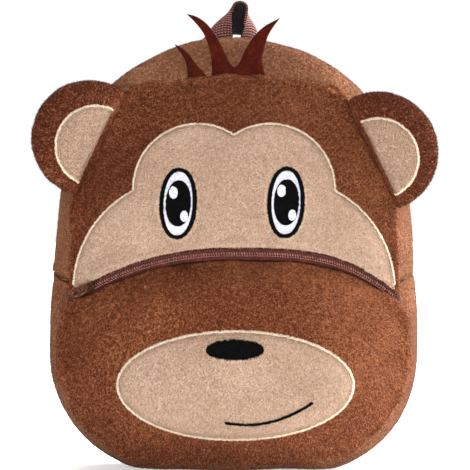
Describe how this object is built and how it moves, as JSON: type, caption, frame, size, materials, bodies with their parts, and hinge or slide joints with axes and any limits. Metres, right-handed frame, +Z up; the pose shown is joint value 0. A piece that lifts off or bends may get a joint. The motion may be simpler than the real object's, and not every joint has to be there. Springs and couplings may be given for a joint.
{
  "type": "plush animal backpack",
  "caption": "Toddler backpack shaped as a plush monkey head, with stuffed ears, felt hair, a zipped muzzle pocket, a zipped main compartment, a carry loop and padded shoulder straps.",
  "frame": {"origin": "middle of the flat bottom that the bag stands on", "axes": "+Z up, the face looks along -Y, +X to the right of someone who looks at the face"},
  "size_m": [0.2414, 0.1451, 0.2876],
  "materials": {
    "plush_brown": "short brown plush",
    "plush_beige": "short beige plush",
    "felt": "dark red-brown felt",
    "webbing": "woven webbing",
    "zip_tape": "woven zip tape with a nylon coil",
    "thread_black": "satin stitch embroidery",
    "lining": "plain woven lining",
    "slider_metal": "brown enamel",
    "strap_plastic": "moulded, satin"
  },
  "bodies": {
    "bag": {"face_panel": "plush_brown", "face_patch": "plush_beige", "eye_left": "thread_black", "eye_right": "thread_black", "front_zipper": "zip_tape", "front_zip_slider": "slider_metal", "pocket_panel": "plush_brown", "muzzle_patch": "plush_beige", "nose": "thread_black", "mouth": "thread_black", "pocket_divider": "lining", "gusset_upper_front": "plush_brown", "main_zipper": "zip_tape", "gusset_upper_back": "plush_brown", "gusset_lower": "plush_brown", "main_zip_slider": "slider_metal", "back_panel": "plush_brown", "ear_right": "plush_brown", "ear_patch_right": "plush_beige", "ear_left": "plush_brown", "ear_patch_left": "plush_beige", "hair_tuft_main": "felt", "hair_tuft_small": "felt", "carry_loop": "webbing", "strap_right": "plush_brown", "strap_adjuster_right": "strap_plastic", "strap_webbing_right": "webbing", "strap_left": "plush_brown", "strap_adjuster_left": "strap_plastic", "strap_webbing_left": "webbing"},
    "front_pull": {"front_zip_pull": "slider_metal"}
  },
  "joints": [
    {"name": "front_pull_swing", "type": "hinge", "parent": "bag", "child": "front_pull", "pos_m": [-0.08764, -0.03939, 0.11076], "axis": [-0.4042, 0.159, 0.9007], "range_deg": [0, 160]}
  ]
}
